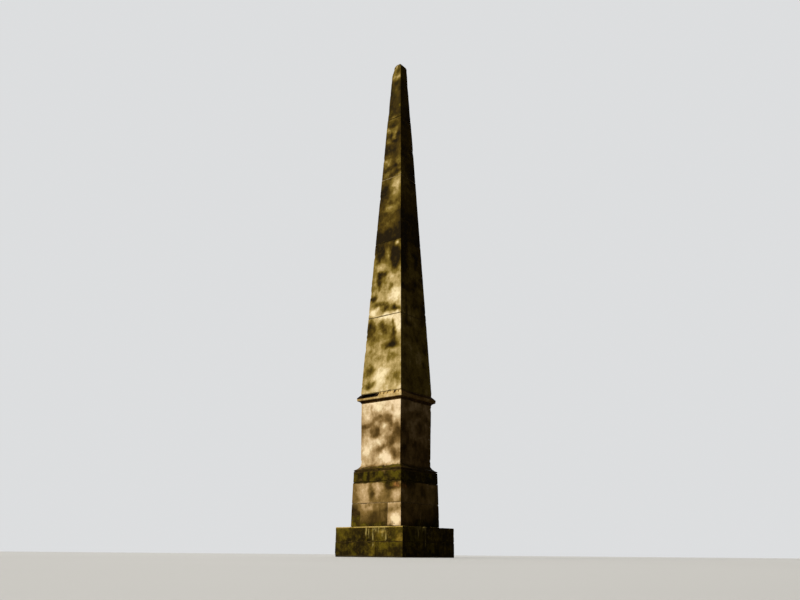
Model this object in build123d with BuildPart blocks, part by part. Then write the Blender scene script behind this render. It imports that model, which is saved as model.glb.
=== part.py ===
from build123d import *

import os
from math import atan, degrees

# Weathered sandstone obelisk in millimetres, +Z up. The origin is on the ground under the tip.
# Front is -Y and right is +X. Five tapering shaft blocks stand on a moulded cornice stone,
# a die cut from one block, and a pedestal and plinth of coursed stones.

# Plinth: two courses of four stones, with upright faces
plinth_side = 1696
plinth_course_height = 277
plinth_lower_end_joint = 200
plinth_upper_end_joint = 170

# Pedestal: two courses under a cap of one stone, all faces in one battered plane
pedestal_foot_side = 1272
pedestal_top_side = 1236
pedestal_bottom_height = 433
pedestal_bottom_end_joint = 300
pedestal_middle_height = 400
cap_height = 226
cap_arris_radius = 22

# Die: one block, a little wider at its head, that flares out over the cap in a hollow curve
die_height = 1375
die_neck_side = 1024
die_head_side = 1056
flare_edge_height = 10
flare_height = 105
flare_radius = 170

# Cornice: hollow underneath, then an upright band, then a weathering up to the shaft
cornice_side = 1196
cove_height = 48
cove_radius = 75
cove_lip = 5
band_height = 66
band_lean = 5
weathering_height = 70

# Shaft: straight tapering faces from the cornice to the shoulder under the blunt pyramid
shaft_foot_side = 1074
shaft_shoulder_side = 256
shaft_block_heights = (1663, 1743, 1615, 1600, 1447)
pyramid_height = 150
pyramid_flat_side = 100
tip_arris_radius = 30

# Mortar beds lie back from the faces, and every outer edge of a stone is worn to a bevel
bed_thickness = 10
bed_recess = 8
arris_bevel = 6

# Levels, from the ground up
plinth_lower_top = plinth_course_height
plinth_upper_foot = plinth_lower_top + bed_thickness
plinth_top = plinth_upper_foot + plinth_course_height
pedestal_foot = plinth_top + bed_thickness
pedestal_bottom_top = pedestal_foot + pedestal_bottom_height
pedestal_middle_foot = pedestal_bottom_top + bed_thickness
pedestal_middle_top = pedestal_middle_foot + pedestal_middle_height
cap_foot = pedestal_middle_top + bed_thickness
cap_top = cap_foot + cap_height
die_foot = cap_top + bed_thickness
die_top = die_foot + die_height
cornice_foot = die_top + bed_thickness
cornice_top = cornice_foot + cove_height + band_height + weathering_height
shaft_foot = cornice_top + bed_thickness
shoulder = cornice_top + sum(bed_thickness + block_height for block_height in shaft_block_heights)


def plinth_side_at(height):
    return plinth_side


def pedestal_side_at(height):
    rise = (height - pedestal_foot) / (cap_top - pedestal_foot)
    return pedestal_foot_side + (pedestal_top_side - pedestal_foot_side) * rise


def shaft_side_at(height):
    rise = (height - shaft_foot) / (shoulder - shaft_foot)
    return shaft_foot_side + (shaft_shoulder_side - shaft_foot_side) * rise


def taper_between(foot_side, top_side, height):
    """Angle in degrees by which each face leans in from a square foot to a square top."""
    return degrees(atan((foot_side - top_side) / 2 / height))


def save(piece, name):
    piece.part.label = name
    export_step(piece.part, f"parts/{name}.step")


def lay_course(name, foot, top, side_at, row_plane, row_names, end_plane, end_names, end_joint):
    """Two rows of two stones. The joint inside the second row is off centre the other way."""
    half_face = min(side_at(foot), side_at(top)) / 2
    sides = (Keep.BOTTOM, Keep.TOP)
    for row_name, row_keep, joint in zip(row_names, sides, (end_joint, -end_joint)):
        for end_name, end_keep in zip(end_names, sides):
            with BuildPart() as stone:
                with BuildSketch(Plane.XY.offset(foot)):
                    Rectangle(side_at(foot), side_at(foot))
                extrude(amount=top - foot, taper=taper_between(side_at(foot), side_at(top), top - foot))
                split(bisect_by=row_plane, keep=row_keep)
                split(bisect_by=end_plane.offset(joint), keep=end_keep)
                on_face = stone.edges().filter_by(
                    lambda edge: max(abs(edge.center().X), abs(edge.center().Y)) > half_face - arris_bevel
                )
                chamfer(on_face, arris_bevel)
            save(stone, f"{name}_{row_name}_{end_name}")


def lay_bed(name, foot, face_side):
    with BuildPart() as bed:
        with BuildSketch(Plane.XY.offset(foot)):
            Rectangle(face_side - 2 * bed_recess, face_side - 2 * bed_recess)
        extrude(amount=bed_thickness)
    save(bed, name)


def lay_tapered_block(name, foot, top, side_at):
    with BuildPart() as block:
        with BuildSketch(Plane.XY.offset(foot)):
            Rectangle(side_at(foot), side_at(foot))
        extrude(amount=top - foot, taper=taper_between(side_at(foot), side_at(top), top - foot))
        chamfer(block.edges(), arris_bevel)
    save(block, name)


os.makedirs("parts", exist_ok=True)
left_right = Plane.YZ
front_back = Plane.ZX

# Plinth: the rows of the upper course run crosswise over those of the lower one
lay_course(
    "plinth_lower", 0, plinth_lower_top, plinth_side_at,
    front_back, ("front", "back"), left_right, ("left", "right"), plinth_lower_end_joint,
)
lay_bed("plinth_middle_bed", plinth_lower_top, plinth_side)
lay_course(
    "plinth_upper", plinth_upper_foot, plinth_top, plinth_side_at,
    left_right, ("left", "right"), front_back, ("front", "back"), plinth_upper_end_joint,
)

# Pedestal courses
lay_bed("pedestal_foot_bed", plinth_top, pedestal_foot_side)
lay_course(
    "pedestal_bottom", pedestal_foot, pedestal_bottom_top, pedestal_side_at,
    front_back, ("front", "back"), left_right, ("left", "right"), pedestal_bottom_end_joint,
)
lay_bed("pedestal_middle_bed", pedestal_bottom_top, pedestal_side_at(pedestal_middle_foot))
lay_tapered_block("pedestal_middle", pedestal_middle_foot, pedestal_middle_top, pedestal_side_at)
lay_bed("cap_bed", pedestal_middle_top, pedestal_side_at(cap_foot))

# Cap of the pedestal, worn rounder than the rest except along its foot
with BuildPart() as cap:
    with BuildSketch(Plane.XY.offset(cap_foot)):
        Rectangle(pedestal_side_at(cap_foot), pedestal_side_at(cap_foot))
    extrude(amount=cap_height, taper=taper_between(pedestal_side_at(cap_foot), pedestal_top_side, cap_height))
    fillet(cap.edges() - cap.faces().sort_by(Axis.Z)[0].edges(), cap_arris_radius)
    chamfer(cap.faces().sort_by(Axis.Z)[0].edges(), arris_bevel)
save(cap, "pedestal_cap")

lay_bed("die_bed", cap_top, pedestal_top_side)

# Die: the same half profile drawn on both upright planes, so that the two runs meet in mitres
flare_foot = die_foot + flare_edge_height
neck = flare_foot + flare_height
with BuildPart() as die:
    for profile_plane, mode in ((Plane.XZ, Mode.ADD), (Plane.YZ, Mode.INTERSECT)):
        with BuildSketch(profile_plane):
            with BuildLine():
                Polyline(
                    (0, die_foot),
                    (pedestal_top_side / 2, die_foot),
                    (pedestal_top_side / 2, flare_foot),
                )
                RadiusArc((pedestal_top_side / 2, flare_foot), (die_neck_side / 2, neck), flare_radius)
                Polyline((die_neck_side / 2, neck), (die_head_side / 2, die_top), (0, die_top))
                mirror(about=Plane.YZ)
            make_face()
        extrude(amount=pedestal_top_side, both=True, mode=mode)
save(die, "die")

lay_bed("cornice_bed", die_top, die_head_side)

# Cornice: a hollow under a band, and a weathering above it, mitred at the corners
cove_top = cornice_foot + cove_height
band_foot_side = cornice_side - 2 * band_lean
cove_side = band_foot_side - 2 * cove_lip
band_top = cove_top + band_height
with BuildPart() as cornice:
    for profile_plane, mode in ((Plane.XZ, Mode.ADD), (Plane.YZ, Mode.INTERSECT)):
        with BuildSketch(profile_plane):
            with BuildLine():
                Line((0, cornice_foot), (die_head_side / 2, cornice_foot))
                RadiusArc((die_head_side / 2, cornice_foot), (cove_side / 2, cove_top), cove_radius)
                Polyline(
                    (cove_side / 2, cove_top),
                    (band_foot_side / 2, cove_top),
                    (cornice_side / 2, band_top),
                    (shaft_foot_side / 2, cornice_top),
                    (0, cornice_top),
                )
                mirror(about=Plane.YZ)
            make_face()
        extrude(amount=cornice_side, both=True, mode=mode)
save(cornice, "cornice")

lay_bed("shaft_foot_bed", cornice_top, shaft_foot_side)

# Shaft: every block but the last is a plain tapering one on its bed
block_foot = shaft_foot
for number, block_height in enumerate(shaft_block_heights[:-1], start=1):
    block_top = block_foot + block_height
    lay_tapered_block(f"shaft_block_{number}", block_foot, block_top, shaft_side_at)
    lay_bed(f"shaft_bed_{number}", block_top, shaft_side_at(block_top + bed_thickness))
    block_foot = block_top + bed_thickness

# Top block of the shaft, which ends in a low pyramid and is worn round except along its foot
top_foot_side = shaft_side_at(block_foot)
with BuildPart() as top_block:
    with BuildSketch(Plane.XY.offset(block_foot)):
        Rectangle(top_foot_side, top_foot_side)
    extrude(
        amount=shoulder - block_foot,
        taper=taper_between(top_foot_side, shaft_shoulder_side, shoulder - block_foot),
    )
    with BuildSketch(Plane.XY.offset(shoulder)):
        Rectangle(shaft_shoulder_side, shaft_shoulder_side)
    extrude(amount=pyramid_height, taper=taper_between(shaft_shoulder_side, pyramid_flat_side, pyramid_height))
    fillet(top_block.edges() - top_block.faces().sort_by(Axis.Z)[0].edges(), tip_arris_radius)
    chamfer(top_block.faces().sort_by(Axis.Z)[0].edges(), arris_bevel)
save(top_block, "shaft_top")
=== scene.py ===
import math
from itertools import product

import bpy
import numpy as np
from mathutils import Matrix, Vector


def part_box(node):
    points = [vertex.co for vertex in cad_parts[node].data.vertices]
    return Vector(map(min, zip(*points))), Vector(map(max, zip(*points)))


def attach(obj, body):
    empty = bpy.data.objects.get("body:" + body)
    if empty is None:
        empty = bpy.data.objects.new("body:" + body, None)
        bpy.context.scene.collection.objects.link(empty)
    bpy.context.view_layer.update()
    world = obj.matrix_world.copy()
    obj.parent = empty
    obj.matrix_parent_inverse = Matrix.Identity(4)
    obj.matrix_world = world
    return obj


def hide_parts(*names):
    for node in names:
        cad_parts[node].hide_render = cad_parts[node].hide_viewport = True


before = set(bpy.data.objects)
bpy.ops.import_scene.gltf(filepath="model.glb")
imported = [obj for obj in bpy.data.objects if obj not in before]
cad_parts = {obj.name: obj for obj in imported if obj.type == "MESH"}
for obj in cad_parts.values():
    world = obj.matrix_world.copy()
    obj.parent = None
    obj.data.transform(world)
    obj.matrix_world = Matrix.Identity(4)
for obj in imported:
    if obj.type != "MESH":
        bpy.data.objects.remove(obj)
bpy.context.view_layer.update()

# A weathered sandstone obelisk. Every stone is a dense mesh that follows its solid's own section at each
# height, then has its arrises worn round, its edges chipped and its faces eroded. All lengths are metres.
# The front faces -Y and the right side +X.

BODY = "root"

# Grid of a stone's mesh
CELL = 0.015
MOULDING_CELL = 0.007
EDGE_LINES = (0.004, 0.010)
CLOSEST_LINES = 0.0025
SECTION_MARGIN = 0.0005
MOULDED = ("die", "cornice")

# Groups of stones: material slot, arris radius, depth of the worn relief, chips on each metre of edge,
# and how far the stains, painted shadows and moss of one side lie above or below those of the next
GROUPS = {
    "plinth": {"slot": "plinth_stone", "radius": 0.009, "relief": 0.009, "chips": 1.6, "shift": 0.0},
    "pedestal": {"slot": "pedestal_stone", "radius": 0.008, "relief": 0.006, "chips": 1.8, "shift": 0.05},
    "die": {"slot": "die_stone", "radius": 0.009, "relief": 0.005, "chips": 1.6, "shift": 0.2},
    "cornice": {"slot": "cornice_stone", "radius": 0.008, "relief": 0.004, "chips": 2.4, "shift": 0.0},
    "shaft": {"slot": "shaft_stone", "radius": 0.010, "relief": 0.004, "chips": 1.5, "shift": 0.8},
}

# Arrises: stones that are worn rounder, and how the radius varies along an arris
WORN_ROUND = {"shaft_top": 0.030, "pedestal_cap": 0.022}
ARRIS_WEAR_SIZE = 0.22
ARRIS_LEAST = 0.45
ARRIS_SWING = 1.5
WIDEST_ARRIS = 0.35

# Relief: sizes of its features, and what each adds to the depth
BROAD_SIZE, FINE_SIZE, PATCH_SIZE = 0.45, 0.06, 0.6
BROAD_SHARE, FINE_SHARE, PIT_SHARE = 0.75, 0.25, 0.5
PATCH_EDGE = (0.45, 0.7)

# Upper faces wear only where they lie bare: beyond the pedestal's foot by this much, and this near the tip
COVERED_MARGIN = 0.04
BARE_TIP = 0.1

# Chips along the outer edges
FACE_MARGIN = 0.05
CHIP_REACH = (0.02, 0.05)
CHIP_STRETCHES = (1, 1, 1, 2.2)
CHIP_STEEPNESS = (0.2, 0.42)
CHIP_TILT = (0.5, 1.5)
CHIP_BAND = 3
DEEPEST_CHIP = 0.016
CUT_FULLY_FRESH = 0.006

# The weathering has broken away along the left half of the front, its shelf and back wall painted dark as
# shade and dirt, and small dirty hollows lie right of the break. Each hollow is its place across, its size
# and how dark it is.
WEATHERING_HEIGHT = 0.070
BREAK_FROM, BREAK_TO = -0.49, -0.02
BREAK_END = 0.02
BREAK_BEHIND_SHAFT = 0.065
BREAK_BEHIND_AT_END = -0.045
BREAK_BELOW_BAND = 0.020
BREAK_BACK_SLOPE = (-0.01, 0.012)
BREAK_DARK_SLOPE = (-0.006, 0.004)
BREAK_DARK_BEHIND = 0.03
RAGGED_DEPTH, RAGGED_SIZE = 0.03, 0.09
SHELF_RAGGEDNESS = 0.3
TORN_DEPTH, TORN_SIZE = 0.035, 0.03
HOLLOWS = (
    (0.03, 0.010, 0.8), (0.11, 0.012, 1.0), (0.155, 0.006, 0.6), (0.22, 0.013, 1.0), (0.30, 0.006, 0.5),
    (0.41, 0.024, 1.2), (0.51, 0.010, 0.8),
)
HOLLOW_REACH = 0.04
HOLLOW_SLANT = 0.3
HOLLOW_SINK = 0.5
BAND_EDGE = 0.02

# The pyramid is fuller than a plain one, and worn down on the left front arris
PYRAMID_HEIGHT = 0.150
TIP_FULLNESS = 0.25
TIP_WEAR = 0.026
TIP_WEAR_BELOW = (0.36, 0.12)
TIP_WEAR_ARRIS = (0.06, 0.22)

# Camera: near the ground, tilted up at the obelisk, a little rolled
CAMERA_DISTANCE = 15.905
CAMERA_AZIMUTH = math.radians(38.249)
CAMERA_RIGHT_OF_AXIS = 0.0547
CAMERA_HEIGHT = 0.05
CAMERA_PITCH = math.radians(18.557)
CAMERA_ROLL = math.radians(-0.501)
CAMERA_LENS = 34.140
CAMERA_SENSOR = 36.0

# Soft studio light: a key from the front left, a weaker one from the back left, a dim fill and a pale floor
KEY_STRENGTH = 4.4
KEY_SOFTNESS = math.radians(12)
KEY_COLOUR = (1.0, 0.96, 0.88)
KEY_ELEVATION = math.radians(34)
KEY_LEFT_OF_FRONT = math.radians(18)
BACK_STRENGTH = 1.6
BACK_SOFTNESS = math.radians(60)
BACK_COLOUR = (0.98, 0.98, 1.0)
BACK_ELEVATION = math.radians(30)
BACK_LEFT_OF_FRONT = math.radians(135)
SKY_COLOUR = (0.102, 0.100, 0.096)
GROUND_COLOUR = (0.074, 0.062, 0.044)
HORIZON_BLEND = 0.3
BACKDROP_COLOUR = (0.72, 0.73, 0.74)
FLOOR_REACH = 150
FLOOR_COLOUR = (0.50, 0.50, 0.49)
FLOOR_COLOUR_2 = (0.53, 0.53, 0.52)
FLOOR_PATCHES, FLOOR_GRAIN = (0.4, 2), (30, 2)
FLOOR_ROUGHNESS = 0.9
FLOOR_BUMP = 0.0005

# Colours of the stone from clean to crusted, for each group: clean, clean but rosier, then darker grime and
# painted shade
PALETTES = {
    "plinth": (
        (0.46, 0.34, 0.10), (0.42, 0.30, 0.09), (0.26, 0.175, 0.024),
        (0.11, 0.070, 0.004), (0.050, 0.030, 0.002), (0.020, 0.012, 0.001),
    ),
    "pedestal": (
        (0.82, 0.66, 0.41), (0.74, 0.55, 0.37), (0.44, 0.300, 0.140),
        (0.19, 0.118, 0.032), (0.074, 0.044, 0.008), (0.026, 0.014, 0.002),
    ),
    "die": (
        (0.88, 0.77, 0.50), (0.82, 0.65, 0.43), (0.47, 0.330, 0.165),
        (0.20, 0.122, 0.040), (0.080, 0.044, 0.009), (0.026, 0.014, 0.002),
    ),
    "cornice": (
        (0.82, 0.68, 0.38), (0.76, 0.58, 0.33), (0.46, 0.320, 0.120),
        (0.19, 0.104, 0.026), (0.055, 0.025, 0.005), (0.010, 0.005, 0.001),
    ),
    "shaft": (
        (0.88, 0.76, 0.47), (0.82, 0.68, 0.43), (0.47, 0.352, 0.145),
        (0.19, 0.132, 0.022), (0.066, 0.040, 0.003), (0.012, 0.007, 0.001),
    ),
}
TONE_STEPS = (0.0, 0.25, 0.5, 0.75, 1.0)
MOSS_DARK = (0.012, 0.0075, 0.001)
MOSS_OLIVE = (0.155, 0.108, 0.008)
MOSS_GREEN = (0.104, 0.080, 0.004)
PALE_DRIP = (0.32, 0.25, 0.075)
RUST = (0.38, 0.17, 0.045)
SOIL = (0.035, 0.026, 0.012)

# Noises of the stone's material: scale, detail, roughness and stretch
STONE_NOISES = {
    "patches": (2.4, 5), "mottle": (9, 6, 0.6), "speckle": (42, 4, 0.6), "grain": (330, 3, 0.6),
    "drips": (1.0, 5, 0.6, (17, 17, 1.4)),
}

# Where each feature of the stone's material begins, and where it is at its full
EDGES = {
    "rosy": (0.36, 0.64), "moss": (0.32, 0.66), "pale_moss": (0.38, 1.0), "green": (0.35, 0.62),
    "wet": (0.3, 0.55), "rust": (0.35, 0.6), "pits": (0.42, 0.3),
}
WET_SWING = 0.5

# How far each noise moves the grime and painted shade, the edge of the moss and the lightness of the moss
TONE_SWINGS = {"mottle": 0.62, "speckle": 0.26, "drips": 0.20, "grain": 0.14}
MOSS_SWINGS = {"mottle": 0.8, "speckle": 0.5}
MOSS_LIGHT_SWINGS = {"patches": 1.1, "mottle": 0.9, "drips": 0.3, "speckle": 0.4}
MOSS_LIGHT = 0.53

# How strongly lesser features show, how rough the surface is, and how deep its fine relief goes
ROSY_TINT = 0.3
FRESHER_WHERE_CUT = 0.16
SOIL_COVER = 0.9
STONE_SPECULAR = 0.06
STONE_ROUGHNESS = (0.86, 0.97)
MORTAR_ROUGHNESS = (0.9, 1.0)
BUMP_DEPTH = 0.004
GRAIN_HEIGHT, SPECKLE_HEIGHT, PIT_DEPTH, MOSS_HEIGHT = 0.25, 0.9, 0.5, 0.9

# Mortars, each dark and pale, and the beds that differ from the shaft's
MORTAR_TONES = {
    "plinth": ((0.022, 0.014, 0.003), (0.100, 0.066, 0.014)),
    "pedestal": ((0.120, 0.080, 0.028), (0.360, 0.250, 0.120)),
    "shaft": ((0.090, 0.064, 0.020), (0.240, 0.175, 0.070)),
    "shaft_pale": ((0.200, 0.145, 0.058), (0.520, 0.400, 0.210)),
}
MORTAR_MOTTLE, MORTAR_GRAIN = (14, 5, 0.6), (400, 3, 0.6)
MORTAR_PALE_EDGE, MORTAR_DARK_EDGE = (0.35, 0.65), (0.6, 0.4)
MORTAR_DARK_COVER = 0.4
MORTAR_OF = {
    "plinth_middle_bed": "plinth", "pedestal_foot_bed": "plinth", "pedestal_middle_bed": "pedestal",
    "cap_bed": "plinth", "die_bed": "plinth", "cornice_bed": "pedestal",
    "shaft_bed_2": "plinth", "shaft_bed_3": "shaft_pale", "shaft_bed_4": "plinth",
}

# The front, right, back and left sides: the way each faces, the way across it, whether its stains and painted
# shadows are mirrored, how far they are raised, and how much of the lighter patches, partly painted sunlight,
# shows
SIDES = (
    {"faces": (0, -1), "across": (1, 0), "mirror": 1, "raised": 0.0, "pale": 1.0},
    {"faces": (1, 0), "across": (0, 1), "mirror": -1, "raised": 0.6, "pale": 0.3},
    {"faces": (0, 1), "across": (-1, 0), "mirror": -1, "raised": -0.4, "pale": 0.6},
    {"faces": (-1, 0), "across": (0, -1), "mirror": 1, "raised": 1.0, "pale": 1.0},
)
LEAST_FACING = 0.02

# The sides in the shade, painted darker as shade and as damper grime: how much darker they and their ledges
# are, and how much of their other tones shows
IN_SHADE = (0, 1, 1, 0)
SHADED_TONE = 0.33
SHADED_LEDGE_TONE = 0.35
SHADED_SHARE = 0.62

# How far up a face has to look to count as a ledge, and to count as level
UPWARD_EDGE = (0.25, 0.8)
LEVEL_EDGE = (0.75, 0.95)

# Grime by height, with painted shade: for each level, metres above it and how dark the stone is there
TONE_BY_HEIGHT = {
    "ground": ((0, 0.72),),
    "plinth_top": ((0, 0.64), (0.03, 0.82)),
    "course": ((-0.15, 0.58), (0, 0.36)),
    "cap_foot": ((-0.03, 0.32), (0, 0.80)),
    # The foot of the die's flare and the top arris of the cap are painted dark, as shade and dirt under the
    # flare
    "cap_top": (
        (-0.04, 0.80), (-0.015, 1.0), (0.022, 1.0), (0.045, 0.56), (0.10, 0.38), (0.14, 0.22), (0.3, 0.26),
        (0.45, 0.26), (0.8, 0.44),
    ),
    # From the die's top to the cornice's band, the cove under the band is painted dark as shade
    "die_top": ((-0.3, 0.24), (-0.15, 0.04), (0, 0.04), (0.02, 0.80)),
    "band_top": ((-0.075, 0.72), (-0.06, 0.22), (0, 0.20)),
    "shaft_foot": ((0, 0.22), (0.1, 0.20), (0.6, 0.34)),
    "joint_1": ((-0.4, 0.47), (0, 0.32), (0.6, 0.36)),
    "joint_2": ((-0.6, 0.54), (-0.02, 0.70), (0.02, 1.0), (0.3, 0.95), (0.5, 0.80)),
    "joint_3": ((-0.1, 0.70), (0.1, 0.76)),
    "joint_4": ((-0.8, 0.90), (-0.3, 0.80), (0.05, 0.96)),
    "tip": ((-0.6, 0.96), (-0.4, 0.72), (0, 0.70)),
}

# Moss by height in the same way
MOSS_BY_HEIGHT = {
    "ground": ((0, 0.75),),
    "plinth_top": ((0, 0.68), (0.03, 0.42), (0.2, 0.2)),
    "course": ((0, 0.02),),
    "cap_foot": ((-0.05, 0.10), (0, 0.72)),
    "cap_top": (
        (-0.04, 0.74), (-0.015, 0), (0.025, 0), (0.04, 0.52), (0.07, 0.50), (0.14, 0.28), (0.20, 0.06),
    ),
    "die_top": ((0, 0),),
    "joint_2": ((-0.5, 0.0), (0.4, 0.05)),
    "joint_3": ((0, 0.25),),
    "joint_4": ((-0.5, 0.3), (0, 0.42)),
    "tip": ((0, 0.42),),
}

# Single stones that are lighter or darker
STONE_TONE = {
    "pedestal_bottom_front_right": -0.30, "pedestal_bottom_front_left": 0.06,
    "pedestal_bottom_back_left": -0.25, "plinth_upper_right_front": -0.06, "plinth_lower_front_left": 0.05,
}

# Stains and painted dappled shadows as they lie on the front: place across, height, half width, half height,
# and how much darker. Less than nothing is a lighter patch, partly cleaner stone and partly painted sunlight.
STAINS_AND_SHADOWS = {
    "shaft": (
        (-0.03, 11.36, 0.05, 0.05, -0.3), (0.07, 11.22, 0.09, 0.08, 0.35),
        (0.04, 11.10, 0.14, 0.10, -0.26), (0.10, 10.70, 0.06, 0.25, -0.12),
        (0.02, 9.87, 0.13, 0.10, -0.22), (-0.04, 9.72, 0.14, 0.05, 0.1), (-0.12, 9.58, 0.11, 0.11, -0.30),
        (0.07, 9.50, 0.08, 0.15, -0.30), (-0.05, 9.46, 0.03, 0.08, 0.15), (0.17, 9.42, 0.05, 0.12, 0.15),
        (-0.10, 9.28, 0.07, 0.07, -0.25), (0.10, 9.25, 0.12, 0.06, 0.2), (-0.09, 8.76, 0.16, 0.15, -0.40),
        (0.19, 8.72, 0.07, 0.12, -0.22), (0.10, 8.58, 0.16, 0.08, 0.12), (-0.16, 8.55, 0.08, 0.06, 0.15),
        (-0.08, 8.42, 0.12, 0.06, -0.12), (0.14, 8.38, 0.16, 0.06, 0.2), (0.18, 8.08, 0.14, 0.26, -0.29),
        (-0.16, 7.92, 0.13, 0.25, 0.28), (0.02, 7.62, 0.10, 0.08, 0.2), (0.25, 7.52, 0.08, 0.12, -0.15),
        (-0.06, 7.48, 0.24, 0.10, -0.14), (0.0, 7.08, 0.14, 0.14, -0.12), (0.33, 7.05, 0.06, 0.14, 0.2),
        (0.0, 6.78, 0.40, 0.14, 0.25), (0.29, 6.60, 0.06, 0.06, -0.45), (0.08, 6.53, 0.10, 0.08, 0.22),
        (-0.22, 6.41, 0.11, 0.22, 0.40), (0.04, 6.40, 0.07, 0.20, -0.15), (0.26, 6.22, 0.13, 0.28, 0.74),
        (-0.14, 6.04, 0.15, 0.10, -0.16), (-0.34, 5.98, 0.08, 0.18, 0.14), (-0.12, 5.90, 0.12, 0.07, 0.32),
        (0.14, 5.80, 0.10, 0.16, -0.22), (-0.17, 5.71, 0.06, 0.15, 0.40), (-0.36, 5.60, 0.10, 0.14, 0.16),
        (0.15, 5.58, 0.04, 0.08, 0.18), (-0.33, 5.36, 0.10, 0.07, 0.34), (0.27, 5.34, 0.16, 0.16, -0.25),
        (-0.12, 5.19, 0.18, 0.08, 0.36), (0.02, 5.05, 0.12, 0.07, 0.34), (0.30, 5.05, 0.12, 0.07, 0.50),
        (-0.32, 5.03, 0.12, 0.06, -0.2), (0.15, 4.87, 0.28, 0.08, -0.28), (0.24, 4.76, 0.03, 0.10, 0.18),
        (-0.08, 4.70, 0.10, 0.12, 0.28), (-0.37, 4.66, 0.13, 0.22, 0.42), (0.40, 4.64, 0.12, 0.20, -0.46),
        (0.02, 4.58, 0.07, 0.10, 0.25), (0.27, 4.45, 0.08, 0.20, 0.36), (-0.26, 4.38, 0.12, 0.12, 0.14),
        (0.22, 4.23, 0.18, 0.09, 0.42), (0.25, 3.95, 0.10, 0.09, 0.20), (-0.04, 3.95, 0.14, 0.12, 0.12),
        (-0.32, 3.74, 0.14, 0.10, 0.26), (0.0, 3.58, 0.18, 0.14, -0.12), (0.45, 3.52, 0.12, 0.16, 0.12),
        (-0.30, 3.41, 0.11, 0.07, 0.34),
    ),
    "cornice": (),
    "die": (
        (-0.22, 2.88, 0.03, 0.12, 0.25), (0.33, 2.86, 0.06, 0.07, 0.25), (-0.15, 2.74, 0.07, 0.09, 0.30),
        (0.34, 2.74, 0.14, 0.10, -0.14), (0.02, 2.68, 0.16, 0.08, 0.22), (0.19, 2.60, 0.08, 0.12, 0.28),
        (-0.22, 2.60, 0.08, 0.08, 0.15), (-0.42, 2.57, 0.13, 0.06, 0.30), (0.06, 2.50, 0.05, 0.08, -0.15),
        (-0.10, 2.40, 0.14, 0.11, 0.40), (0.42, 2.40, 0.11, 0.20, 0.36), (-0.05, 2.24, 0.07, 0.05, -0.12),
        (0.27, 2.18, 0.07, 0.14, 0.34), (-0.33, 2.16, 0.13, 0.18, -0.15), (0.06, 2.10, 0.11, 0.07, 0.22),
        (0.03, 2.08, 0.14, 0.12, 0.14), (0.38, 1.95, 0.10, 0.13, 0.38), (0.14, 1.90, 0.12, 0.08, -0.20),
    ),
    "pedestal": (
        (-0.40, 1.60, 0.24, 0.05, 0.15), (0.16, 1.57, 0.14, 0.06, -0.25), (-0.42, 1.47, 0.09, 0.05, -0.2),
        (0.42, 1.35, 0.22, 0.08, 0.60), (0.11, 1.34, 0.09, 0.08, -0.18), (-0.30, 1.30, 0.12, 0.08, -0.05),
        (0.28, 1.22, 0.08, 0.14, 0.25), (-0.13, 1.22, 0.06, 0.11, 0.22), (-0.08, 1.20, 0.06, 0.10, 0.2),
        (-0.57, 1.20, 0.06, 0.20, 0.12), (0.50, 1.12, 0.10, 0.08, -0.22), (0.40, 0.93, 0.14, 0.10, 0.15),
        (-0.12, 0.93, 0.24, 0.06, -0.2), (0.26, 0.84, 0.05, 0.12, 0.1), (-0.57, 0.76, 0.10, 0.26, 0.46),
        (0.52, 0.70, 0.15, 0.13, -0.44), (-0.05, 0.60, 0.40, 0.06, 0.2),
    ),
    "plinth": (
        (0.36, 0.46, 0.26, 0.10, -0.20), (0.76, 0.35, 0.09, 0.09, -0.18), (-0.15, 0.35, 0.14, 0.16, 0.15),
        (-0.35, 0.26, 0.10, 0.08, -0.2), (0.55, 0.18, 0.16, 0.08, 0.2), (0.20, 0.14, 0.16, 0.07, -0.12),
    ),
}

# Darker and lighter patches of the two shaded sides alone. On the right side, more than nothing across is
# nearer the front.
SHADED_SIDE_PATCHES = {
    "shaft": (
        (0.30, 6.12, 0.16, 0.36, 0.65), (0.10, 5.42, 0.45, 0.26, 0.16), (0.30, 4.62, 0.26, 0.26, -0.45),
        (0.0, 3.48, 0.60, 0.32, 0.16),
    ),
    "cornice": (),
    "die": ((0.10, 2.50, 0.42, 0.20, -0.45), (0.0, 1.95, 0.65, 0.26, 0.26)),
    "pedestal": ((-0.15, 1.12, 0.42, 0.20, 0.18), (-0.30, 0.85, 0.30, 0.16, 0.12)),
    "plinth": (),
}

# Moss in the same way as the stains of the front
MOSS = {
    "shaft": (
        (0.05, 11.08, 0.2, 0.12, -0.3), (-0.10, 8.76, 0.16, 0.14, -0.3), (0.19, 8.08, 0.12, 0.24, -0.3),
    ),
    "cornice": (),
    "die": ((0.30, 1.72, 0.25, 0.04, 0.2),),
    "pedestal": (
        (0.16, 1.57, 0.13, 0.05, -0.3), (-0.42, 1.47, 0.08, 0.04, -0.25), (0.36, 1.37, 0.20, 0.07, 0.6),
        (-0.52, 0.66, 0.16, 0.12, 0.35), (0.06, 0.62, 0.34, 0.06, 0.3),
    ),
    "plinth": (
        (0.36, 0.46, 0.26, 0.10, -0.30), (0.76, 0.35, 0.09, 0.09, -0.3), (-0.33, 0.25, 0.08, 0.07, -0.3),
    ),
}
RUST_STAIN = {"node": "pedestal_middle", "stain": (0.50, 1.35, 0.08, 0.05, 1.0)}
# Shape of all placed patches (stains, painted shadows, moss, rust), and the strength of stains and painted
# shadows
PLACED_EDGE = (0.0, 1.7)
PLACED_WARP, PLACED_WARP_SIZE = 0.09, 0.17
PLACED_PATCHINESS, PLACED_PATCH_SIZE = 0.8, 0.11
STAIN_AND_SHADOW_STRENGTH = 1.35

# The left end of the pedestal's bottom course is darker up to a sharp upright edge
DARK_END = {"node": "pedestal_bottom_front_left", "edge": -0.397, "top": 0.90, "tone": 0.42}
DARK_END_EDGE = 0.004
DARK_END_FADE = 0.08

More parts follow.
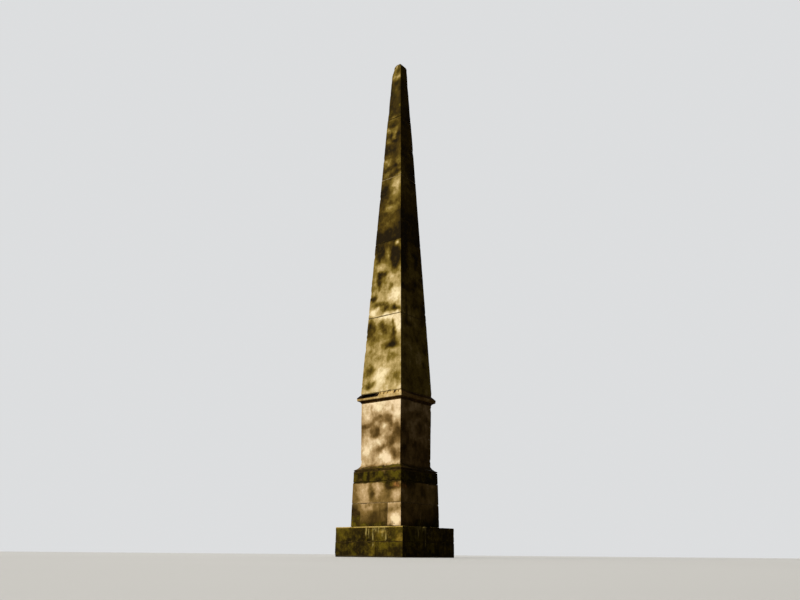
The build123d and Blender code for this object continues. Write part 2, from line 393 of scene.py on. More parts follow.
# Pale runs down the plinth where water leaves the ledge: place across, highest and lowest point
PALE_RUNS = (
    (-0.05, 0.52, 0.40), (0.013, 0.50, 0.36), (0.125, 0.57, 0.20), (0.155, 0.57, 0.42), (0.205, 0.57, 0.47),
    (0.27, 0.57, 0.44), (0.305, 0.57, 0.50), (0.355, 0.57, 0.37), (0.40, 0.57, 0.47), (0.445, 0.56, 0.28),
)
PALE_RUN_HALF_WIDTH = 0.014
PALE_RUN_EDGE = (0.1, 1.6)
RUN_WANDER, RUN_WANDER_SIZE = 0.012, 0.07
RUN_FADE, RUN_FOOT_FADE = 0.03, 0.05
RUN_BREAKS_SIZE, RUN_BREAKS_EDGE = (0.05, 0.05, 0.09), (0.3, 0.6)
RUN_FAINTEST, RUN_SWING = 0.2, 1.2

# The rim of the plinth's ledge is painted lighter on the lit sides only, partly worn bare and partly a
# painted
# highlight: how far below its top and within its edge that begins and ends
RIM_WORN_AND_LIT = 0.7
RIM_BELOW = (0.030, 0.014)
RIM_WITHIN = (0.05, 0.015)
RIM_PATCH_SIZE, RIM_PATCH_EDGE = 0.2, (0.3, 0.5)

# Painted shade and dark dirt in the joint under the die's flare: its strength, its middle above the cap, its
# edge and how uneven it is. The last value is how strongly all such painted shade and dirt darkens the stone.
SHADE_AND_DIRT_UNDER_DIE = 1.1
DARK_JOINT = 0.010
DARK_JOINT_EDGE = (0.020, 0.036)
DARK_JOINT_SWING, DARK_JOINT_SIZE = 0.02, 0.1
SHADE_AND_DIRT_COVER = 1.2

# Grime, moss, algae and soil that lie everywhere
GRIME_SWING, GRIME_SIZE = 0.8, (0.35, 0.35, 0.5)
MOSS_SWING, MOSS_SIZE = 0.5, 0.3
LEDGE_MOSS = 0.4
GREEN_COVER, GREEN_SIZE = 0.7, 0.3
GREEN_EDGE = (0.52, 0.7)
SOIL_HEIGHT = 0.045
SOIL_SWING, SOIL_SIZE = 0.05, 0.12

# Seeds of the noises. The first four are added to the stone's own seed.
SEEDS = {
    "arris": 5, "broad": 11, "fine": 17, "patch": 23,
    "grime_and_shade": 401, "moss": 431, "green": 457, "rim": 463, "soil": 479, "warp_across": 503, "warp_up": 541,
    "run_wander": 557, "run_breaks": 563, "placed_patches": 571, "ragged": 601, "torn": 607,
    "dark_joint": 617,
}
OCTAVE_SEED_STEP = 31
FIRST_STONE_SEED = 107
STONE_SEED_STEP = 7
HASH_X, HASH_Y, HASH_Z, HASH_SEED, HASH_LAST = 374761393, 668265263, 2147483647, 1274126177, 2246822519

level = {
    "ground": 0,
    "plinth_top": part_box("plinth_upper_right_front")[1].z,
    "course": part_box("pedestal_middle")[0].z,
    "cap_foot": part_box("pedestal_cap")[0].z,
    "cap_top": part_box("pedestal_cap")[1].z,
    "die_top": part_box("die")[1].z,
    "cornice_top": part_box("cornice")[1].z,
    "shaft_foot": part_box("shaft_block_1")[0].z,
    "joint_1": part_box("shaft_block_2")[0].z,
    "joint_2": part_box("shaft_block_3")[0].z,
    "joint_3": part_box("shaft_block_4")[0].z,
    "joint_4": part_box("shaft_top")[0].z,
    "tip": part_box("shaft_top")[1].z,
}
level["band_top"] = level["cornice_top"] - WEATHERING_HEIGHT
half_width = {
    "plinth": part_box("plinth_upper_right_front")[1].x,
    "pedestal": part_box("pedestal_foot_bed")[1].x,
    "shaft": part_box("shaft_block_1")[1].x,
}


# Noise

def lattice(ix, iy, iz, seed):
    """A repeatable random number from 0 to 1 for each whole-number point."""
    mixed = (ix * HASH_X + iy * HASH_Y + iz * HASH_Z + seed * HASH_SEED) & 0xFFFFFFFF
    mixed = ((mixed ^ (mixed >> 13)) * HASH_SEED) & 0xFFFFFFFF
    mixed = ((mixed ^ (mixed >> 16)) * HASH_LAST) & 0xFFFFFFFF
    return (mixed & 0xFFFFFF) / float(0xFFFFFF)


def value_noise(points, size, seed):
    """Smooth noise from 0 to 1 with features of the given size, which may differ along X, Y and Z."""
    scaled = points / np.asarray(size, float)
    cell = np.floor(scaled).astype(np.int64)
    inside = scaled - cell
    inside = inside * inside * (3 - 2 * inside)
    total = np.zeros(len(points))
    for corner in product((0, 1), repeat=3):
        x, y, z = (inside[:, axis] if ahead else 1 - inside[:, axis] for axis, ahead in enumerate(corner))
        total += x * y * z * lattice(*(cell + corner).T, seed)
    return total


def fractal(points, size, seed, octaves=4, gain=0.55):
    """Noise from 0 to 1 with finer noises added to it."""
    size = np.asarray(size, float)
    total, amount, reach = np.zeros(len(points)), 1.0, 0.0
    for octave in range(octaves):
        total += amount * value_noise(points, size / 2**octave, seed + OCTAVE_SEED_STEP * octave)
        reach += amount
        amount *= gain
    return total / reach


def swing(points, size, seed_name, octaves=4):
    """Noise from -0.5 to 0.5."""
    return fractal(points, size, SEEDS[seed_name], octaves) - 0.5


def smooth(value, low, high):
    """A soft step from 0 at the low value to 1 at the high one."""
    share = np.clip((value - low) / (high - low), 0, 1)
    return share * share * (3 - 2 * share)


# Grid of one stone

def section_reader(node):
    """A function that gives the solid's lowest and highest X and Y at each height, and the solid's levels."""
    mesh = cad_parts[node].data
    at = np.array([v.co for v in mesh.vertices])
    ends = at[np.array([e.vertices[:] for e in mesh.edges])]
    low, high = ends[:, 0], ends[:, 1]
    bottom, top = at[:, 2].min() + SECTION_MARGIN, at[:, 2].max() - SECTION_MARGIN

    def read(heights):
        rows = []
        for z in np.clip(heights, bottom, top):
            crossing = (low[:, 2] - z) * (high[:, 2] - z) <= 0
            a, b = low[crossing], high[crossing]
            rise = b[:, 2] - a[:, 2]
            share = np.where(np.abs(rise) > 1e-9, (z - a[:, 2]) / np.where(rise == 0, 1, rise), 0)
            hit = a + (b - a) * share[:, None]
            rows.append([*hit[:, :2].min(0), *hit[:, :2].max(0)])
        return np.array(rows)

    return read, np.unique(np.round(at[:, 2], 4))


def grid_lines(length, cell, extra=()):
    """Places for grid lines from 0 to length: close together at both ends, and at the extra places."""
    even = np.linspace(0, length, max(2, int(round(length / cell)) + 1))
    near = np.array(EDGE_LINES)
    wanted = np.unique(np.concatenate([even, near, length - near, np.asarray(extra, float)]))
    fixed = {0.0, length, *np.asarray(extra, float)}
    kept = [wanted[0]]
    for place in wanted[1:]:
        if place - kept[-1] >= CLOSEST_LINES:
            kept.append(place)
        elif place in fixed and kept[-1] not in fixed:
            kept[-1] = place
    kept[-1] = length
    return np.array(kept)


def moulded_levels(height, marks):
    """Heights for the grid lines of a moulded stone, close together over its mouldings."""
    mouldings = marks[(marks > CLOSEST_LINES) & (marks < height - CLOSEST_LINES)]
    low, high = mouldings.min(), mouldings.max()
    fine = np.arange(low, high, MOULDING_CELL)
    return grid_lines(height, CELL, np.concatenate([fine, [high]]))


def box_shell(nx, ny, nz):
    """Grid points on the six faces of a box of nx by ny by nz points, and the quads between them."""
    number = np.full((nx, ny, nz), -1, np.int64)
    inside = np.zeros((nx, ny, nz), bool)
    inside[1:-1, 1:-1, 1:-1] = True
    at = np.argwhere(~inside)
    number[at[:, 0], at[:, 1], at[:, 2]] = np.arange(len(at))

    def quads(layer, flip):
        a, b, c, d = layer[:-1, :-1], layer[1:, :-1], layer[1:, 1:], layer[:-1, 1:]
        order = (a, d, c, b) if flip else (a, b, c, d)
        return np.stack([corner.ravel() for corner in order], 1)

    faces = [
        quads(number[:, :, 0], True), quads(number[:, :, -1], False),
        quads(number[:, 0, :], False), quads(number[:, -1, :], True),
        quads(number[0, :, :], True), quads(number[-1, :, :], False),
    ]
    return at, np.concatenate(faces)


def stone_grid(node, group):
    """A dense shell in the form of the solid: its points, its quads, and for each point the lowest and
    highest corner of the solid's section at that height."""
    read, marks = section_reader(node)
    low_corner, high_corner = (np.array(corner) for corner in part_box(node))
    size = high_corner - low_corner
    marks = marks - low_corner[2]
    xs, ys = (grid_lines(size[axis], CELL) / size[axis] for axis in (0, 1))
    zs = moulded_levels(size[2], marks) if group in MOULDED else grid_lines(size[2], CELL, marks)
    at, quads = box_shell(len(xs), len(ys), len(zs))
    section = read(low_corner[2] + zs)[at[:, 2]]
    low = np.column_stack([section[:, :2], np.full(len(at), low_corner[2])])
    high = np.column_stack([section[:, 2:], np.full(len(at), high_corner[2])])
    share = np.column_stack([xs[at[:, 0]], ys[at[:, 1]], zs[at[:, 2]] / size[2]])
    return low + (high - low) * share, quads, low, high


# Wear of one stone

def wear_arrises(points, low, high, radius, seed):
    """Rounds the arrises, more in some places than in others. Gives the points and the way each faces."""
    uneven = fractal(points, ARRIS_WEAR_SIZE, seed + SEEDS["arris"], octaves=3)
    radius = radius * (ARRIS_LEAST + ARRIS_SWING * uneven**2)
    radius = np.minimum(radius, WIDEST_ARRIS * (high - low)[:, :2].min(1))[:, None]
    core = np.clip(points, low + radius, high - radius)
    outward = points - core
    outward /= np.linalg.norm(outward, axis=1)[:, None]
    return core + outward * radius, outward


def open_to_weather(points, node):
    """Whether each point of an upper face lies bare, as on the ledge of the plinth and the tip."""
    if node.startswith("plinth_upper"):
        covered = half_width["pedestal"]
        return smooth(np.abs(points[:, :2]).max(1), covered, covered + COVERED_MARGIN)
    return (points[:, 2] > level["tip"] - BARE_TIP) * 1.0


def erode_faces(points, outward, depth, node, seed):
    """Sinks broad hollows into the faces, and small pits that gather in patches."""
    broad = fractal(points, BROAD_SIZE, seed + SEEDS["broad"])
    fine = fractal(points, FINE_SIZE, seed + SEEDS["fine"], octaves=2)
    patch = smooth(fractal(points, PATCH_SIZE, seed + SEEDS["patch"]), *PATCH_EDGE)
    relief = depth * (BROAD_SHARE * broad + FINE_SHARE * fine + PIT_SHARE * patch * fine)
    points[:, :2] -= outward[:, :2] * relief[:, None]
    points[:, 2] -= np.maximum(outward[:, 2], 0) * relief * open_to_weather(points, node)


def outer_sides(node):
    """The sides of a stone that are on the face of its course, each as its axis and sign."""
    low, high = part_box(node)
    course = max(abs(v) for corner in (low, high) for v in (corner.x, corner.y))
    reach = {(axis, sign): high[axis] if sign > 0 else -low[axis] for axis in (0, 1) for sign in (-1, 1)}
    return {side for side, edge in reach.items() if edge > course - FACE_MARGIN}


def outer_edges(outer):
    """The edges that chips break out of: the axis along each one, and the two sides that meet there. A level
    edge needs one side on the face of its course, and an upright edge needs both."""
    for along in range(3):
        across = [axis for axis in range(3) if axis != along]
        for signs in product((-1, 1), repeat=2):
            edge = tuple(zip(across, signs))
            on_face = [side in outer for side in edge]
            if all(on_face) if along == 2 else any(on_face):
                yield along, edge


def cut_chip(points, low, high, along, edge, place, reach, depth, tilt):
    """Breaks one scallop out of an edge and says how deep each point was cut."""
    (first, first_sign), (second, second_sign) = edge
    signs, direction = np.zeros(3), np.zeros(3)
    signs[first], signs[second] = first_sign, second_sign
    direction[first], direction[second] = first_sign * tilt, second_sign
    direction /= np.linalg.norm(direction)
    corner = np.where(signs > 0, high, low)
    out = ((points - corner) * direction)[:, [first, second]].sum(1)
    from_middle = points[:, along] - place
    over = out + depth * (1 - (from_middle / reach) ** 2)
    chipped = (np.abs(from_middle) < reach) & (over > 0) & (out > -CHIP_BAND * depth)
    over = np.where(chipped, over, 0)
    points -= over[:, None] * direction
    return over


def chip_edges(points, low, high, outer, rate, rng):
    """Chips the outer edges of a stone and says how deep each point was cut."""
    cut = np.zeros(len(points))
    box_low, box_high = low.min(0), high.max(0)
    middle, half = (box_low + box_high) / 2, (box_high - box_low) / 2
    for along, edge in outer_edges(outer):
        for _ in range(rng.poisson(rate * (2 * half[along]))):
            place = middle[along] + rng.uniform(-half[along], half[along])
            reach = rng.uniform(*CHIP_REACH) * rng.choice(CHIP_STRETCHES)
            depth = min(reach * rng.uniform(*CHIP_STEEPNESS), DEEPEST_CHIP)
            cut += cut_chip(points, low, high, along, edge, place, reach, depth, rng.uniform(*CHIP_TILT))
    return cut


def broken_edge(points, ragged):
    """The height that the break in the weathering leaves at each point, and the painted shade and dirt on its
    shelf.
    """
    x, y, z = points.T
    right_end = 1 - smooth(x, BREAK_TO - BREAK_END + ragged, BREAK_TO + ragged)
    along = smooth(x, BREAK_FROM, BREAK_FROM + BREAK_END) * right_end
    behind = np.interp(x, (BREAK_FROM / 2, BREAK_TO), (BREAK_BEHIND_SHAFT, BREAK_BEHIND_AT_END))
    back = behind - half_width["shaft"] + ragged
    shelf = level["band_top"] - BREAK_BELOW_BAND + SHELF_RAGGEDNESS * ragged
    back_low, back_high = BREAK_BACK_SLOPE
    floor = shelf + (level["cornice_top"] - shelf) * smooth(y, back + back_low, back + back_high)
    dark_low, dark_high = BREAK_DARK_SLOPE
    shade_and_dirt = right_end * (y < back + BREAK_DARK_BEHIND) * smooth(z, shelf + dark_low, shelf + dark_high)
    return z + (np.minimum(z, floor) - z) * along, shade_and_dirt


def break_weathering(points):
    """Cuts the broken edge of the cornice down to a shelf under the shaft, and hollows beside it.
    Gives the new points and how much painted shade and dirt each one holds."""
    x, y, z = points.T
    ragged = RAGGED_DEPTH * swing(points * (1, 0, 0), RAGGED_SIZE, "ragged", octaves=3)
    torn = TORN_DEPTH * swing(points, TORN_SIZE, "torn", octaves=3)
    lowered, shade_and_dirt = broken_edge(points, ragged)
    on_slope = smooth(z, level["band_top"], level["band_top"] + BAND_EDGE)
    weathering = (y < HOLLOW_REACH - half_width["shaft"]) * on_slope
    slanted = x + HOLLOW_SLANT * (z - level["band_top"]) + ragged + torn
    for place, size, darkness in HOLLOWS:
        near = np.exp(-(((slanted - place) / size) ** 2)) * weathering
        lowered = lowered - HOLLOW_SINK * size * near
        shade_and_dirt = np.maximum(shade_and_dirt, darkness * near)
    return np.column_stack([x, y, lowered]), shade_and_dirt


def wear_tip(points):
    """Makes a dome of the plain pyramid, and wears it down on the left front arris."""
    x, y, z = points.T
    rise = np.clip((z - level["tip"] + PYRAMID_HEIGHT) / PYRAMID_HEIGHT, 0, 1)
    fuller = 1 + TIP_FULLNESS * np.sin(math.pi * rise)
    low, high = (level["tip"] - below for below in TIP_WEAR_BELOW)
    inward = TIP_WEAR * smooth(z, low, high) * smooth(-x - y, *TIP_WEAR_ARRIS)
    return np.column_stack([x * fuller + inward, y * fuller + inward, z])


def shade_and_dirt_under_die(points):
    """How dark the painted shade and dirt are in and beside the joint between the pedestal's cap and the die.
    """
    away = np.abs(points[:, 2] - level["cap_top"] - DARK_JOINT)
    away = away + DARK_JOINT_SWING * swing(points, DARK_JOINT_SIZE, "dark_joint", octaves=3)
    return SHADE_AND_DIRT_UNDER_DIE * (1 - smooth(away, *DARK_JOINT_EDGE))


def wear_single_stone(points, node):
    """What is worn on one stone alone. Gives the points and how much painted shade and dirt each one holds.
    """
    if node == "cornice":
        return break_weathering(points)
    if node in ("die", "pedestal_cap"):
        return points, shade_and_dirt_under_die(points)
    if node == "shaft_top":
        points = wear_tip(points)
    return points, np.zeros(len(points))


def stone_mesh(name, node, group, seed):
    """The worn stone that stands for a solid."""
    settings = GROUPS[group]
    points, quads, low, high = stone_grid(node, group)
    radius = WORN_ROUND.get(node, settings["radius"])
    points, outward = wear_arrises(points, low, high, radius, seed)
    erode_faces(points, outward, settings["relief"], node, seed)
    rng = np.random.default_rng(seed)
    cut = chip_edges(points, low, high, outer_sides(node), settings["chips"], rng)
    points, shade_and_dirt = wear_single_stone(points, node)

    mesh = bpy.data.meshes.new(name)
    mesh.from_pydata(points.tolist(), [], quads.tolist())
    mesh.validate()
    mesh.update()
    mesh.shade_smooth()
    store(mesh, "cut", np.clip(cut / CUT_FULLY_FRESH, 0, 1))
    store(mesh, "tint", np.full(len(points), rng.uniform(0, 1)))
    store(mesh, "shade_and_dirt", shade_and_dirt)
    piece = bpy.data.objects.new(name, mesh)
    bpy.context.scene.collection.objects.link(piece)
    return piece


def store(mesh, name, values):
    """Keeps one value for each point of a mesh under a name."""
    attribute = mesh.attributes.get(name) or mesh.attributes.new(name, "FLOAT", "POINT")
    attribute.data.foreach_set("value", np.asarray(values, np.float32))


def stored(mesh, name):
    """The values that a mesh keeps under a name."""
    values = np.empty(len(mesh.vertices), np.float32)
    mesh.attributes[name].data.foreach_get("value", values)
    return values.astype(float)


# Where grime, painted shade and light, moss and the like lie

def read_vectors(mesh, what):
    """The place or the normal of every point of a mesh."""
    values = np.empty(len(mesh.vertices) * 3)
    mesh.vertices.foreach_get(what, values)
    return values.reshape(-1, 3)


def side_weights(normals):
    """How much each point belongs to each of the four sides."""
    facing = np.clip(normals[:, :2] @ np.array([side["faces"] for side in SIDES]).T, LEAST_FACING, 1) ** 2
    return facing / facing.sum(1)[:, None]


def place_across(points, side):
    """How far each point lies across a side, to the right where the side's stains and painted shadows aren't
    mirrored.
    """
    return points[:, :2] @ np.array(side["across"]) * side["mirror"]


def by_height(z, table):
    """What a table by height gives at each point."""
    rows = [(level[name] + above, amount) for name, places in table.items() for above, amount in places]
    return np.interp(z, *zip(*rows))


def placed(points, weights, stains, shift):
    """The sum of the given placed patches at each point, with uneven edges: stains, painted shadows, moss and
    rust alike.
    """
    sway_across, sway_up = (
        PLACED_WARP * (2 * swing(points, PLACED_WARP_SIZE, name, octaves=3))
        for name in ("warp_across", "warp_up")
    )
    total = np.zeros(len(points))
    for side, weight in zip(SIDES, weights.T):
        across = place_across(points, side) + sway_across
        height = points[:, 2] - side["raised"] * shift + sway_up
        for x, z, half_across, half_height, amount in stains:
            reach = np.hypot((across - x) / half_across, (height - z) / half_height)
            shown = amount if amount > 0 else amount * side["pale"]
            total += weight * shown * (1 - smooth(reach, *PLACED_EDGE))
    return total * (1 + PLACED_PATCHINESS * swing(points, PLACED_PATCH_SIZE, "placed_patches", octaves=3))


def dark_end(points):
    """How much darker the left end of the pedestal's bottom course is."""
    edge, top = DARK_END["edge"], DARK_END["top"]
    beyond = 1 - smooth(points[:, 0], edge - DARK_END_EDGE, edge + DARK_END_EDGE)
    return DARK_END["tone"] * beyond * (1 - smooth(points[:, 2], top - DARK_END_FADE, top))


def grime_and_shade_on(points, weights, node, group, up, shaded):
    """How dark the crust and the painted shade are: by height, by stone, in stains and painted shadows, and
    as painted shade on the shaded sides.
    """
    grime_and_shade = by_height(points[:, 2], TONE_BY_HEIGHT) + STONE_TONE.get(node, 0) * (1 - shaded)
    grime_and_shade += GRIME_SWING * swing(points, GRIME_SIZE, "grime_and_shade")
    grime_and_shade += STAIN_AND_SHADOW_STRENGTH * placed(points, weights, STAINS_AND_SHADOWS[group], GROUPS[group]["shift"])
    if node == DARK_END["node"]:
        grime_and_shade += dark_end(points)
    # The shaded sides and their ledges are painted darker, as shade and as damper grime
    grime_and_shade = grime_and_shade + shaded * (SHADED_TONE + SHADED_LEDGE_TONE * up + (SHADED_SHARE - 1) * grime_and_shade)
    grime_and_shade += placed(points, weights * IN_SHADE, SHADED_SIDE_PATCHES[group], 0)
    return np.clip(grime_and_shade, 0, 1)


def moss_on(points, weights, group, up):
    """How thick the moss is: by height, in patches, and more on ledges near the ground."""
    moss = by_height(points[:, 2], MOSS_BY_HEIGHT) + MOSS_SWING * swing(points, MOSS_SIZE, "moss")
    moss += placed(points, weights, MOSS[group], GROUPS[group]["shift"])
    return moss + LEDGE_MOSS * up * (group in ("plinth", "pedestal"))


def pale_runs(points, weights):
    """Thin vertical runs on the plinth."""
    z = points[:, 2]
    wander = RUN_WANDER * (2 * swing(points, RUN_WANDER_SIZE, "run_wander", octaves=2))
    broken = smooth(fractal(points, RUN_BREAKS_SIZE, SEEDS["run_breaks"], octaves=2), *RUN_BREAKS_EDGE)
    inner, outer = (share * PALE_RUN_HALF_WIDTH for share in PALE_RUN_EDGE)
    total = np.zeros(len(points))
    for side, weight in zip(SIDES, weights.T):
        across = place_across(points, side) + wander
        for place, top, bottom in PALE_RUNS:
            line = 1 - smooth(np.abs(across - place), inner, outer)
            foot = smooth(z, bottom - RUN_FADE, bottom + RUN_FOOT_FADE)
            total += weight * line * (foot * (1 - smooth(z, top, top + RUN_FADE)))
    return total * (RUN_FAINTEST + RUN_SWING * broken)


def worn_and_lit_rim(points, shaded):
    """How bare the rim of the plinth's ledge is worn, on the lit sides only, as wear and a painted highlight.
    """
    low, high = (level["plinth_top"] - below for below in RIM_BELOW)
    inner, outer = (half_width["plinth"] - within for within in RIM_WITHIN)
    rim = smooth(points[:, 2], low, high) * smooth(np.abs(points[:, :2]).max(1), inner, outer)
    patches = smooth(fractal(points, RIM_PATCH_SIZE, SEEDS["rim"]), *RIM_PATCH_EDGE)
    return RIM_WORN_AND_LIT * (rim * (patches * (1 - shaded)))


def paint(piece, node, group):
    """Stores where grime and painted shade, moss, algae, drips, rust and soil lie on a stone."""
    mesh = piece.data
    points, normals = read_vectors(mesh, "co"), read_vectors(mesh, "normal")
    weights = side_weights(normals)
    up = smooth(normals[:, 2], *UPWARD_EDGE)
    shaded = (weights @ IN_SHADE) * (1 - smooth(normals[:, 2], *LEVEL_EDGE))
    nothing = np.zeros(len(points))
    rim = worn_and_lit_rim(points, shaded) if group == "plinth" else nothing
    # Painted shade and dirt in the broken weathering and under the die's flare darken the stone further
    grime_and_shade = np.maximum(grime_and_shade_on(points, weights, node, group, up, shaded), SHADE_AND_DIRT_COVER * stored(mesh, "shade_and_dirt"))
    rusty = node == RUST_STAIN["node"]
    masks = {
        "grime_and_shade": grime_and_shade - rim,
        "moss": moss_on(points, weights, group, up) - rim,
        "green": GREEN_COVER * smooth(fractal(points, GREEN_SIZE, SEEDS["green"]), *GREEN_EDGE),
        "pale": pale_runs(points, weights) if group == "plinth" else nothing,
        "rust": placed(points, weights, (RUST_STAIN["stain"],), 0) if rusty else nothing,
        "soil": 1 - smooth(points[:, 2] + SOIL_SWING * swing(points, SOIL_SIZE, "soil"), 0, SOIL_HEIGHT),
    }
    for name, values in masks.items():
        store(mesh, name, np.clip(values, 0, 1))


# Materials

class Shader:
    """A node tree that is built one named step at a time."""

    def __init__(self, owner, coordinates="Object"):
        owner.use_nodes = True
        self.owner = owner
        self.tree = owner.node_tree
        self.tree.nodes.clear()
        self.place = self.add("ShaderNodeTexCoord").outputs[coordinates]

    def add(self, kind, inputs=None, **settings):
        node = self.tree.nodes.new(kind)
        for key, value in settings.items():
            setattr(node, key, value)
        for key, value in (inputs or {}).items():
            if isinstance(value, bpy.types.NodeSocket):
                self.tree.links.new(value, node.inputs[key])
            else:
                node.inputs[key].default_value = value
        return node

    def noise(self, scale, detail=4, roughness=0.55, stretch=None):
        vector = self.place
        if stretch:
            vector = self.add("ShaderNodeMapping", {"Vector": vector, "Scale": stretch}).outputs[0]
        inputs = {"Vector": vector, "Scale": scale, "Detail": detail, "Roughness": roughness}
        return self.add("ShaderNodeTexNoise", inputs).outputs["Fac"]

    def mask(self, name):
        return self.add("ShaderNodeAttribute", attribute_name=name).outputs["Fac"]

    def math(self, operation, a, b):
        return self.add("ShaderNodeMath", {0: a, 1: b}, operation=operation).outputs[0]

    def sway(self, value, noise, amount):
        """The value moved up and down by a noise about its middle."""
        return self.math("ADD", value, self.math("MULTIPLY", self.math("SUBTRACT", noise, 0.5), amount))

    def sways(self, value, noises, amounts):
        """The value moved by several noises, each by its own amount."""
        for name, amount in amounts.items():
            value = self.sway(value, noises[name], amount)
        return value

    def ramp(self, value, low, high, start=0.0, end=1.0, kind="SMOOTHSTEP"):
        inputs = {"Value": value, "From Min": low, "From Max": high, "To Min": start, "To Max": end}
        return self.add("ShaderNodeMapRange", inputs, interpolation_type=kind).outputs["Result"]

    def mix(self, factor, a, b):
        """Colour a where the factor is 0 and colour b where it is 1."""
        a, b = ((*colour, 1) if isinstance(colour, tuple) else colour for colour in (a, b))
        return self.add("ShaderNodeMix", {0: factor, 6: a, 7: b}, data_type="RGBA").outputs[2]

    def finish(self, colour, roughness, height, depth):
        bump = self.add("ShaderNodeBump", {"Height": height, "Strength": 1.0, "Distance": depth})
        surface = self.add("ShaderNodeBsdfPrincipled", {
            "Base Color": colour, "Roughness": roughness, "Normal": bump.outputs[0],
            "Specular IOR Level": STONE_SPECULAR,
        })
        self.add("ShaderNodeOutputMaterial", {"Surface": surface.outputs[0]})
        return self.owner


def bare_stone(shader, palette, noises):
    """The colour of the stone: clean, then darker grime and painted shade step by step."""
    clean, rosy, *darker = palette
    colour = shader.mix(shader.ramp(noises["patches"], *EDGES["rosy"]), clean, rosy)
    colour = shader.mix(shader.ramp(shader.mask("tint"), 0, 1, 0, ROSY_TINT), colour, rosy)
    fresh = shader.math("MULTIPLY", shader.mask("cut"), FRESHER_WHERE_CUT)
    tone = shader.math("SUBTRACT", shader.sways(shader.mask("grime_and_shade"), noises, TONE_SWINGS), fresh)
    for low, high, grime_and_shade in zip(TONE_STEPS, TONE_STEPS[1:], darker):
        colour = shader.mix(shader.ramp(tone, low, high, kind="LINEAR"), colour, grime_and_shade)
    return colour


def moss_cover(shader, noises):
    """How far moss covers the stone, and the colour of the moss."""
    mossy = shader.ramp(shader.sways(shader.mask("moss"), noises, MOSS_SWINGS), *EDGES["moss"])
    light = shader.sways(MOSS_LIGHT, noises, MOSS_LIGHT_SWINGS)
    colour = shader.mix(shader.ramp(light, *EDGES["pale_moss"]), MOSS_DARK, MOSS_OLIVE)
    green = shader.math("MULTIPLY", shader.mask("green"), shader.ramp(noises["mottle"], *EDGES["green"]))
    return mossy, shader.mix(green, colour, MOSS_GREEN)


def runs_rust_and_soil(shader, colour, noises):
    """Pale runs where water comes down, rust, and soil at the foot."""
    wet = shader.ramp(shader.sway(noises["drips"], noises["speckle"], WET_SWING), *EDGES["wet"])
    colour = shader.mix(shader.math("MULTIPLY", shader.mask("pale"), wet), colour, PALE_DRIP)
    rusty = shader.math("MULTIPLY", shader.mask("rust"), shader.ramp(noises["mottle"], *EDGES["rust"]))
    colour = shader.mix(rusty, colour, RUST)
    return shader.mix(shader.ramp(shader.mask("soil"), 0, 1, 0, SOIL_COVER), colour, SOIL)


def stone_height(shader, mossy, noises):
    """The fine relief of the surface: grain, speckle and pits, and rougher grain in the moss."""
    grain, speckle = noises["grain"], noises["speckle"]
    pits = shader.math("MULTIPLY", shader.ramp(speckle, *EDGES["pits"]), PIT_DEPTH)
    moss_grain = shader.math("MULTIPLY", shader.math("MULTIPLY", mossy, grain), MOSS_HEIGHT)
    height = shader.math("MULTIPLY", grain, GRAIN_HEIGHT)
    height = shader.math("ADD", height, shader.math("MULTIPLY", speckle, SPECKLE_HEIGHT))
    return shader.math("ADD", shader.math("SUBTRACT", height, pits), moss_grain)


def stone_material(name, palette):
    """Sandstone with grime and painted shade, moss and drips where the masks of the mesh say."""
    shader = Shader(bpy.data.materials.new(name))
    noises = {kind: shader.noise(*settings) for kind, settings in STONE_NOISES.items()}
    mossy, moss_colour = moss_cover(shader, noises)
    colour = shader.mix(mossy, bare_stone(shader, palette, noises), moss_colour)
    colour = runs_rust_and_soil(shader, colour, noises)
    roughness = shader.ramp(mossy, 0, 1, *STONE_ROUGHNESS)
    return shader.finish(colour, roughness, stone_height(shader, mossy, noises), BUMP_DEPTH)


def mortar_material(name, dark, pale):
    """Mortar, mottled from dark to pale, with dark grains."""
    shader = Shader(bpy.data.materials.new(name))
    mottle, grain = shader.noise(*MORTAR_MOTTLE), shader.noise(*MORTAR_GRAIN)
    colour = shader.mix(shader.ramp(mottle, *MORTAR_PALE_EDGE), dark, pale)
    colour = shader.mix(shader.ramp(grain, *MORTAR_DARK_EDGE, 0, MORTAR_DARK_COVER), colour, dark)
    return shader.finish(colour, shader.ramp(mottle, 0, 1, *MORTAR_ROUGHNESS), grain, BUMP_DEPTH)


def floor_material():
    shader = Shader(bpy.data.materials.new("studio_floor"))
    colour = shader.mix(shader.noise(*FLOOR_PATCHES), FLOOR_COLOUR, FLOOR_COLOUR_2)
    return shader.finish(colour, FLOOR_ROUGHNESS, shader.noise(*FLOOR_GRAIN), FLOOR_BUMP)


# Stage, light and camera

def make_camera():
    forward = Vector((
        -math.sin(CAMERA_AZIMUTH) * math.cos(CAMERA_PITCH),
        math.cos(CAMERA_AZIMUTH) * math.cos(CAMERA_PITCH),
        math.sin(CAMERA_PITCH),
    ))
    level_right = Vector((math.cos(CAMERA_AZIMUTH), math.sin(CAMERA_AZIMUTH), 0))
    level_up = level_right.cross(forward)
    right = level_right * math.cos(CAMERA_ROLL) - level_up * math.sin(CAMERA_ROLL)
    up = level_right * math.sin(CAMERA_ROLL) + level_up * math.cos(CAMERA_ROLL)
    data = bpy.data.cameras.new("camera")
    data.lens = CAMERA_LENS
    data.sensor_width = CAMERA_SENSOR
    camera = bpy.data.objects.new("camera", data)
    bpy.context.scene.collection.objects.link(camera)
    eye = Vector((math.sin(CAMERA_AZIMUTH), -math.cos(CAMERA_AZIMUTH), 0)) * CAMERA_DISTANCE
    eye += level_right * CAMERA_RIGHT_OF_AXIS
    eye.z = CAMERA_HEIGHT
    axes = Matrix((right, up, -forward)).transposed().to_4x4()
    camera.matrix_world = Matrix.Translation(eye) @ axes
    bpy.context.scene.camera = camera


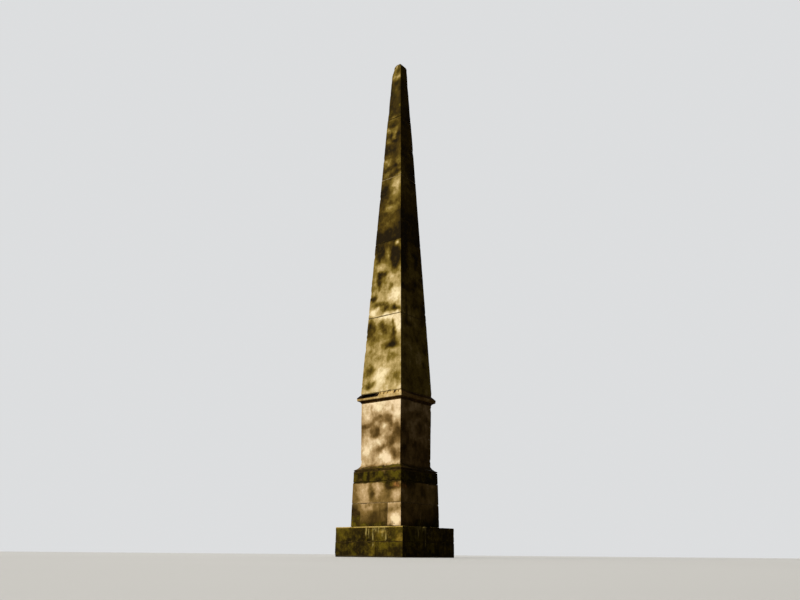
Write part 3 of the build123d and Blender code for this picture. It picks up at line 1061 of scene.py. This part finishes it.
def make_sun(name, strength, softness, colour, elevation, left_of_front):
    sun = bpy.data.lights.new(name, "SUN")
    sun.energy = strength
    sun.angle = softness
    sun.color = colour
    lamp = bpy.data.objects.new(name, sun)
    bpy.context.scene.collection.objects.link(lamp)
    towards = Vector((
        -math.sin(left_of_front) * math.cos(elevation),
        -math.cos(left_of_front) * math.cos(elevation),
        math.sin(elevation),
    ))
    lamp.rotation_mode = "QUATERNION"
    lamp.rotation_quaternion = towards.to_track_quat("Z", "Y")


def make_world():
    """A dim fill, darker from below, that the camera sees as a plain pale backdrop."""
    world = bpy.data.worlds.new("studio")
    bpy.context.scene.world = world
    shader = Shader(world, "Generated")
    height = shader.add("ShaderNodeSeparateXYZ", {0: shader.place}).outputs["Z"]
    above = shader.ramp(height, -HORIZON_BLEND, HORIZON_BLEND, kind="LINEAR")
    fill = shader.add("ShaderNodeBackground", {"Color": shader.mix(above, GROUND_COLOUR, SKY_COLOUR)})
    backdrop = shader.add("ShaderNodeBackground", {"Color": (*BACKDROP_COLOUR, 1)})
    seen = shader.add("ShaderNodeLightPath").outputs["Is Camera Ray"]
    both = shader.add("ShaderNodeMixShader", {0: seen, 1: fill.outputs[0], 2: backdrop.outputs[0]})
    shader.add("ShaderNodeOutputWorld", {"Surface": both.outputs[0]})


def make_floor():
    """A pale floor that takes the shadow but throws no light back up at the shaded sides."""
    mesh = bpy.data.meshes.new("studio_floor")
    corners = [(x * FLOOR_REACH, y * FLOOR_REACH, 0) for x, y in ((-1, -1), (1, -1), (1, 1), (-1, 1))]
    mesh.from_pydata(corners, [], [(0, 1, 2, 3)])
    floor = bpy.data.objects.new("studio_floor", mesh)
    bpy.context.scene.collection.objects.link(floor)
    mesh.materials.append(floor_material())
    floor.visible_diffuse = False


# Build

make_camera()
make_sun("key_light", KEY_STRENGTH, KEY_SOFTNESS, KEY_COLOUR, KEY_ELEVATION, KEY_LEFT_OF_FRONT)
make_sun("back_light", BACK_STRENGTH, BACK_SOFTNESS, BACK_COLOUR, BACK_ELEVATION, BACK_LEFT_OF_FRONT)
make_world()
make_floor()
bpy.context.scene.view_settings.view_transform = "Standard"
materials = {group: stone_material(f"{group}_sandstone", palette) for group, palette in PALETTES.items()}
mortars = {group: mortar_material(f"{group}_mortar", *tones) for group, tones in MORTAR_TONES.items()}
beds = [node for node in sorted(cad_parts) if "_bed" in node]
stones = [node for node in sorted(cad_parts) if "_bed" not in node]

for node in beds:
    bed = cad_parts[node]
    bed.data.materials.clear()
    bed.data.materials.append(mortars[MORTAR_OF.get(node, "shaft")])

for number, node in enumerate(stones):
    group = node.split("_")[0]
    piece = stone_mesh("worn_" + node, node, group, FIRST_STONE_SEED + STONE_SEED_STEP * number)
    paint(piece, node, group)
    piece.data.materials.append(materials[group])
    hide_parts(node)
    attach(piece, BODY)
